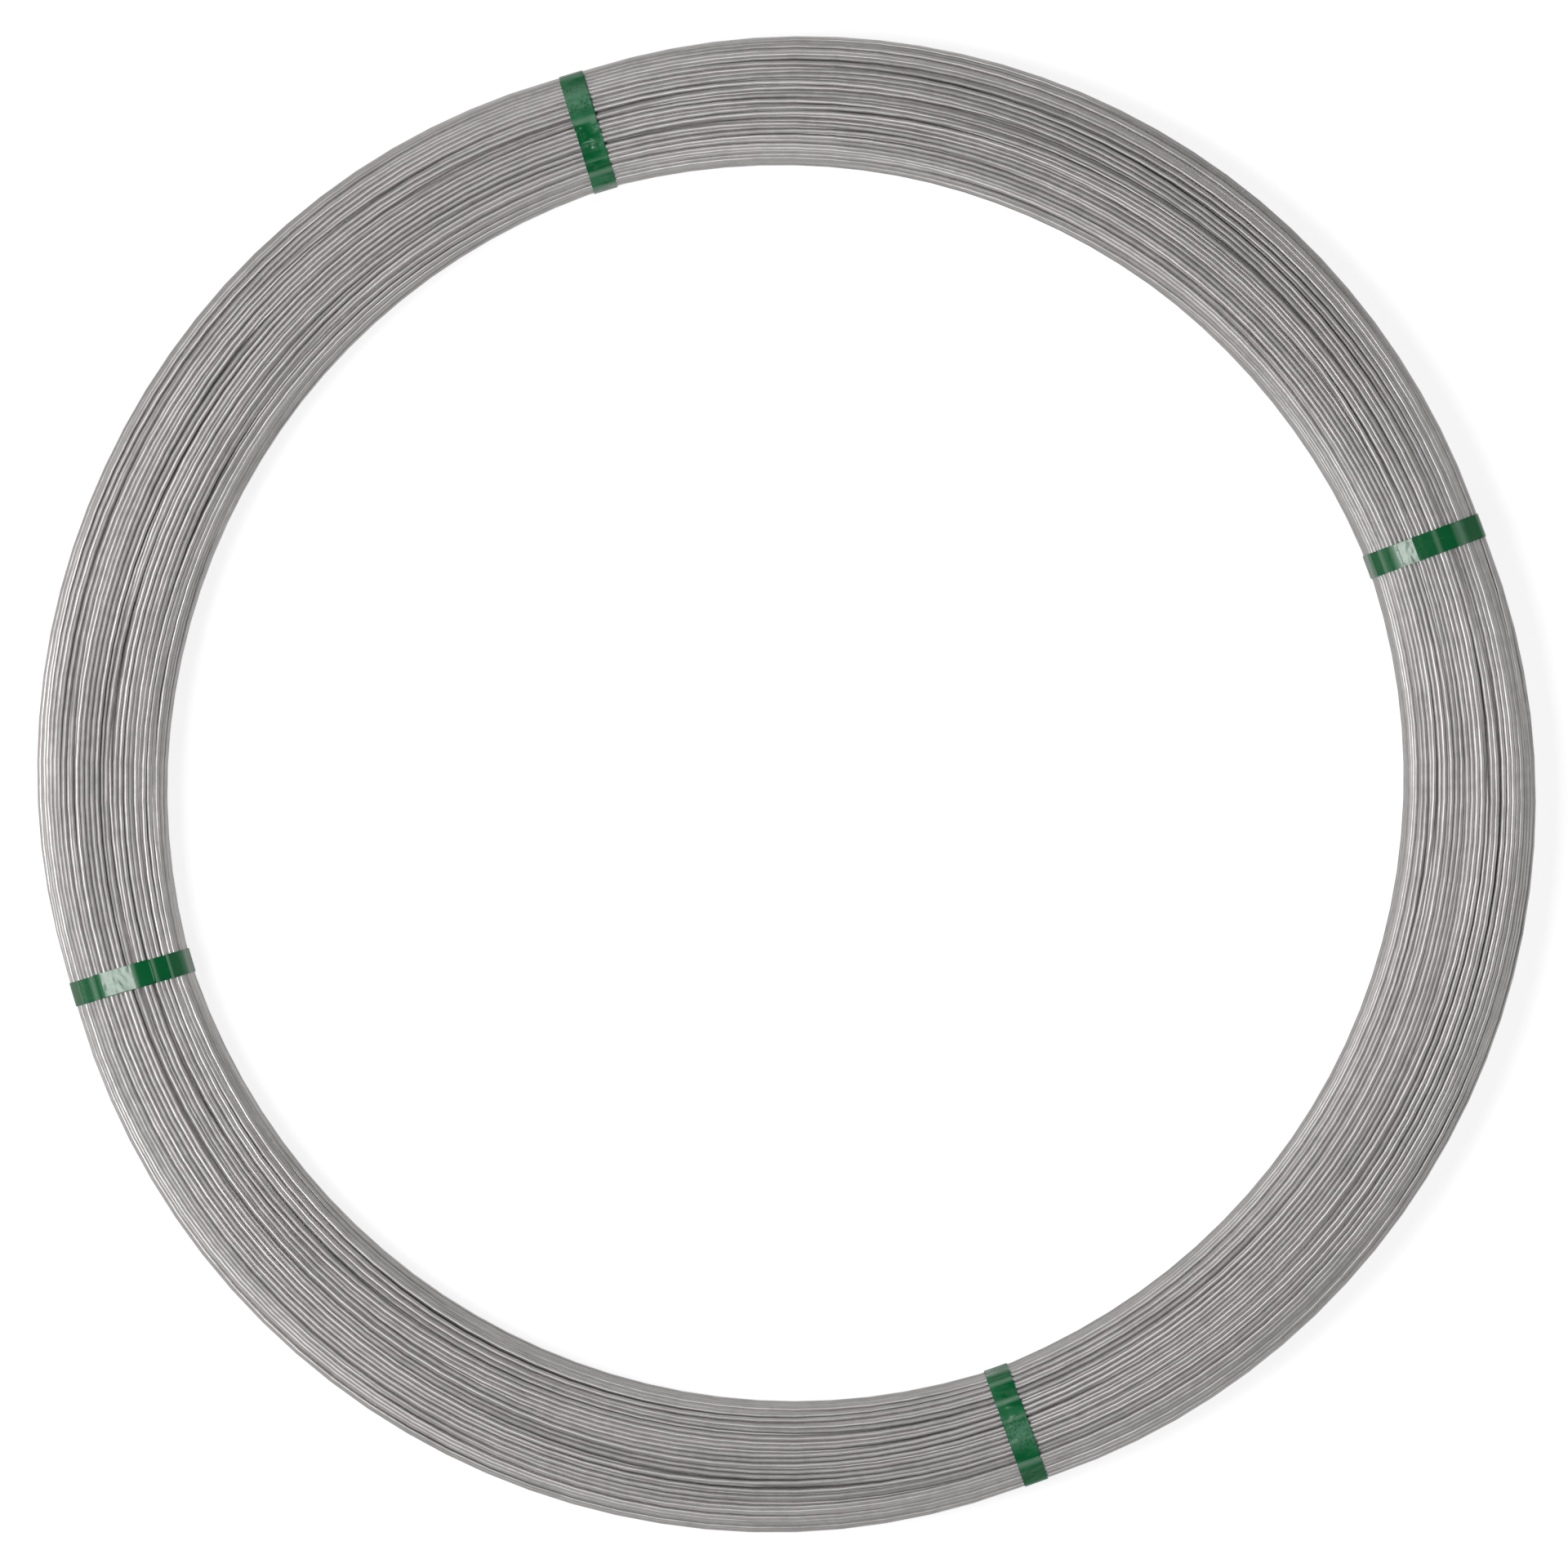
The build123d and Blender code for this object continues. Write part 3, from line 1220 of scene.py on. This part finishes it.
@dataclass(frozen=True)
class Strap:
    """One strap: a band pulled tight round the turns, its ends lapped and welded.

    Its plastic whitens at its cut ends, and where it bends by more than the first of the crease
    degrees, fully at the second. The ramp is where the lap climbs over the band's start.
    """

    site: StrapSite
    finish: bpy.types.Material
    wire_radius: float = WIRE_DIAMETER / 2
    band: StrapBand = StrapBand()
    lap_length: float = 30.0 * MM
    weld_length: float = 14.0 * MM
    ramp_length: float = 3.0 * MM
    step_length: float = 1.5 * MM
    station_decimals: int = 6
    bend_step: float = math.radians(6)
    crease_degrees: Range = (5.0, 15.0)
    end_skew: float = 0.35 * MM
    corner_radius: float = 2.0 * MM
    corner_steps: int = 6
    whitening_length: float = 0.5 * MM
    sharp_angle: float = math.radians(40)

    def build(self, wires: np.ndarray) -> bpy.types.Object:
        """Makes the strap.

        Args:
            wires: the turns' centres in the strap's section, as radius and height.

        Returns:
            The finished piece.
        """
        loop = self._loop(wires)
        middle = loop.points.mean(axis=0)
        if self.site.lap_turn is LapTurn.AWAY_FROM_BORE:
            loop = loop.turned_back()
        way = loop.way()
        turn = np.degrees(np.arctan2(loop.points[:, 1] - middle[1], loop.points[:, 0] - middle[0]))
        cut = way[int(np.argmin(np.abs(turn - self.site.cut_end)))]
        end = cut + way[-1] + self.lap_length
        rounding = self.corner_radius * (1 - np.cos(np.linspace(0, np.pi / 2, self.corner_steps)))
        stations = np.concatenate([way[:-1], way[:-1] + way[-1], cut + rounding, end - rounding])
        stations = np.unique(np.round(stations, self.station_decimals))
        stations = stations[(stations >= cut) & (stations <= end)]
        return self._mesh(loop, stations)

    def _loop(self, wires: np.ndarray) -> Loop:
        """The inside of the strap: straight from turn to turn and bent round each.

        Args:
            wires: the turns' centres, as for build.

        Returns:
            The loop.
        """
        corners = hull_of(wires)
        reach = self.wire_radius + self.band.gap
        least, most = self.crease_degrees
        points, normals, creases = [], [], []
        count = len(corners)
        for index in range(count):
            before, here, after = corners[index - 1], corners[index], corners[(index + 1) % count]
            turns = [math.atan2(-side[0], side[1]) for side in (here - before, after - here)]
            swing = (turns[1] - turns[0]) % FULL_TURN
            steps = max(1, math.ceil(swing / self.bend_step))
            for step in range(steps + 1):
                turn = turns[0] + swing * step / steps
                outward = np.array([math.cos(turn), math.sin(turn)])
                points.append(here + reach * outward)
                normals.append(outward)
                creases.append(min(max((math.degrees(swing) - least) / (most - least), 0.0), 1.0))
            start, side = points[-1], after - here
            length = float(np.linalg.norm(side))
            steps = int(length / self.step_length) if length >= 2 * reach else 0
            ahead = side / length
            flat = [start + ahead * length * step / steps for step in range(1, steps)]
            points += flat
            normals += [normals[-1]] * len(flat)
            creases += [0.0] * len(flat)
        return Loop(np.array(points), np.array(normals), np.array(creases))

    def _sweep(self, loop: Loop, run: np.ndarray, total: float) -> np.ndarray:
        """Carries the band's section along the loop, over its own start at the lap.

        Args:
            loop: the inside of the strap at each station.
            run: how far along the band each station is.
            total: the way once round the loop.

        Returns:
            The band's points, as (stations, corners of the section, 3).
        """
        band = self.band
        to_end = np.minimum(run, run[-1] - run)
        inset = self.corner_radius - np.minimum(to_end, self.corner_radius)
        narrowing = self.corner_radius - np.sqrt(self.corner_radius**2 - inset**2)
        over = eased(np.clip((run - (total - self.ramp_length)) / self.ramp_length, 0, 1))
        lift = band.thickness / 2 + over * (band.thickness + band.gap)
        skew = self.end_skew * over * self.site.skew
        width, depth = np.array(band.section()).T
        shrink = 1 - narrowing / (band.width / 2)
        across = width * shrink[:, None] + skew[:, None]
        radial, up = self.site.radial, np.array([0.0, 0.0, 1.0])
        sideways = np.array([-radial[1], radial[0], 0.0])
        centre = loop.points + loop.normals * lift[:, None]
        base = centre[:, :1] * radial + centre[:, 1:] * up
        away = loop.normals[:, :1] * radial + loop.normals[:, 1:] * up
        return base[:, None] + sideways * across[..., None] + away[:, None] * depth[:, None]

    def _mesh(self, loop: Loop, stations: np.ndarray) -> bpy.types.Object:
        """The band's mesh, UV-mapped along and across, with its weld, creases, wear and painted sheen
        marked.

        Args:
            loop: the inside of the strap.
            stations: where sections of the band stand, as ways along the loop.

        Returns:
            The finished piece.
        """
        run = stations - stations[0]
        spots = loop.at(stations)
        points = self._sweep(spots, run, loop.way()[-1])
        rings, around, _ = points.shape
        name = f"{self.site.node}_band"
        mesh = bpy.data.meshes.new(name)
        mesh.from_pydata([tuple(point) for point in points.reshape(-1, 3)], [], tube_faces(rings, around))
        along = np.repeat(run, around)
        across = np.tile([width for width, _ in self.band.section()], rings)
        uv = mesh.uv_layers.new(name="band")
        corner = np.zeros(len(mesh.loops), dtype=np.int32)
        mesh.loops.foreach_get("vertex_index", corner)
        uv.data.foreach_set("uv", np.stack([along[corner], across[corner]], axis=1).ravel())
        weld = faded(np.abs(along - (run[-1] - self.lap_length / 2)), self.weld_length / 2)
        creased = np.maximum(spots.creases, faded(np.minimum(run, run[-1] - run), self.whitening_length))
        mark(mesh, "weld", weld * self.site.wear_and_sheen)
        mark(mesh, "crease", np.repeat(creased, around))
        # The wear also sets how strong the painted sheen in the rubs is
        mark(mesh, "wear_and_sheen", np.full(len(along), self.site.wear_and_sheen))
        mesh.materials.append(self.finish)
        turn_outwards(mesh)
        mesh.shade_smooth()
        mesh.set_sharp_from_angle(angle=self.sharp_angle)
        return placed(name, mesh)


@dataclass(frozen=True)
class Softbox:
    """A rectangular studio lamp, aimed at the coil."""

    name: str
    stand: tuple[float, float, float]
    radiance: float
    width: float
    height: float

    def build(self) -> None:
        """Hangs the lamp at its stand."""
        lamp = bpy.data.lights.new(self.name, "AREA")
        lamp.shape = "RECTANGLE"
        lamp.size, lamp.size_y = self.width, self.height
        lamp.energy = self.radiance * math.pi * self.width * self.height
        hung = placed(self.name, lamp)
        hung.location = self.stand
        hung.rotation_euler = Vector(self.stand).to_track_quat("Z", "Y").to_euler()
        hung.visible_camera = False


@dataclass(frozen=True)
class Studio:
    """The plain white set: floor, sky, lamps and the camera overhead.

    The glow of the floor and of the sky is what the camera sees. Metal mirrors a share of each. The
    sky fades from the horizon's grey to the zenith's between two heights, of which 1 is overhead.
    """

    floor_half_side: float = 15.0
    floor_colour: Colour = (0.60, 0.60, 0.60, 1.0)
    floor_glow: float = 0.79
    floor_mirrored: float = 0.30
    sky_glow: float = 1.5
    sky_mirrored: float = 0.1
    horizon: float = 0.4
    zenith: float = 0.10
    sky_fade: Range = (0.1, 0.6)
    lens: float = 200.0
    sensor: float = 36.0
    farthest: float = 100.0
    lamps: tuple[Softbox, ...] = (
        Softbox("key_softbox", (-1.05, -0.12, 2.89), 18.6, 0.74, 0.84),
        Softbox("left_softbox", (-2.0, 0.0, 0.9), 0.7, 1.6, 0.8),
        Softbox("right_softbox", (2.0, 0.0, 0.9), 0.8, 1.6, 0.8),
        Softbox("top_softbox", (0.0, 2.0, 0.9), 0.35, 1.6, 0.8),
        Softbox("bottom_softbox", (0.0, -2.0, 0.9), 0.35, 1.6, 0.8),
    )

    def build(self) -> None:
        """Sets up the whole studio."""
        self._floor()
        self._sky()
        for lamp in self.lamps:
            lamp.build()
        self._camera()
        bpy.context.scene.view_settings.view_transform = "Standard"

    @staticmethod
    def _seen(graph: NodeGraph, mirrored: float) -> bpy.types.NodeSocket:
        """Which rays see the set as the camera does.

        Args:
            graph: the graph of the floor or the sky.
            mirrored: the share of it that metal mirrors.

        Returns:
            1 for rays from the camera or through glass, and mirrored for those off metal.
        """
        path = graph.add("ShaderNodeLightPath")
        sent_on = graph.math("MULTIPLY", path.outputs["Is Glossy Ray"], mirrored)
        seen = graph.math("MAXIMUM", path.outputs["Is Camera Ray"], sent_on)
        return graph.math("MAXIMUM", seen, path.outputs["Is Transmission Ray"])

    def _floor(self) -> None:
        """A white floor that keeps the coil's shadow."""
        half = self.floor_half_side
        corners = [(-half, -half, 0), (half, -half, 0), (half, half, 0), (-half, half, 0)]
        mesh = bpy.data.meshes.new("studio_floor")
        mesh.from_pydata(corners, [], [(0, 1, 2, 3)])
        material, graph = open_material("studio_floor")
        paint = graph.add("ShaderNodeBsdfDiffuse", {"Color": self.floor_colour})
        strength = graph.math("MULTIPLY", self._seen(graph, self.floor_mirrored), self.floor_glow)
        glow = graph.add("ShaderNodeEmission", {"Strength": strength})
        both = graph.add("ShaderNodeAddShader", {0: paint.outputs[0], 1: glow.outputs[0]})
        graph.add("ShaderNodeOutputMaterial", {"Surface": both.outputs[0]})
        mesh.materials.append(material)
        floor = placed("studio_floor", mesh)

    def _sky(self) -> None:
        """A pale sky, lighter at the horizon than overhead, and white to the camera."""
        world = bpy.data.worlds.new("studio_sky")
        world.use_nodes = True
        world.node_tree.nodes.clear()
        graph = NodeGraph(world.node_tree)
        way = graph.add("ShaderNodeTexCoord").outputs["Generated"]
        height = graph.add("ShaderNodeSeparateXYZ", {"Vector": way}).outputs["Z"]
        pale, dim = [(grey, grey, grey, 1.0) for grey in (self.horizon, self.zenith)]
        colour = graph.blend(graph.ramp(height, *self.sky_fade), pale, dim)
        strength = graph.weighted(1.0, (self._seen(graph, self.sky_mirrored), self.sky_glow))
        glow = graph.add("ShaderNodeBackground", {"Color": colour, "Strength": strength})
        graph.add("ShaderNodeOutputWorld", {"Surface": glow.outputs[0]})
        bpy.context.scene.world = world

    def _camera(self) -> None:
        """The camera straight above the photograph's middle, far off, with a long lens."""
        width = PHOTO_SIDE_PX * PHOTO_METRES_PER_PX
        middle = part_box(COIL_NODE)[1][2] / 2
        lens = bpy.data.cameras.new("camera")
        lens.lens, lens.sensor_width = self.lens, self.sensor
        lens.clip_end = self.farthest
        camera = placed("camera", lens)
        off_x = (PHOTO_SIDE_PX / 2 - COIL_CENTRE_PX[0]) * PHOTO_METRES_PER_PX
        off_y = (COIL_CENTRE_PX[1] - PHOTO_SIDE_PX / 2) * PHOTO_METRES_PER_PX
        camera.location = (off_x, off_y, middle + width * self.lens / self.sensor)
        bpy.context.scene.camera = camera


def main() -> None:
    """Builds the coil, its straps and the studio, and reports each piece."""
    logging.basicConfig(level=logging.INFO, format="%(message)s")
    bundle = Bundle()
    lay = WireLay(bundle)
    line = lay.centre_line()
    grain = SurfaceGrain().group()
    wire_finish = GalvanizedWire(grain).material()
    strap_finish = StrapPlastic(grain).material()
    coil = WireCoil(lay)
    for piece in coil.build(line, wire_finish):
        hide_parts(COIL_NODE)
        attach(piece, "root")
        log.info("%s: %d faces", piece.name, len(piece.data.polygons))
    for site in STRAP_SITES:
        piece = Strap(site, strap_finish).build(bundle.wires_under(line, site))
        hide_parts(site.node)
        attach(piece, "root")
        log.info("%s: %d faces", piece.name, len(piece.data.polygons))
    Studio().build()
    log.info("wire %.0f m long", float(np.linalg.norm(np.diff(line, axis=0), axis=1).sum()))


if __name__ == "__main__":
    main()
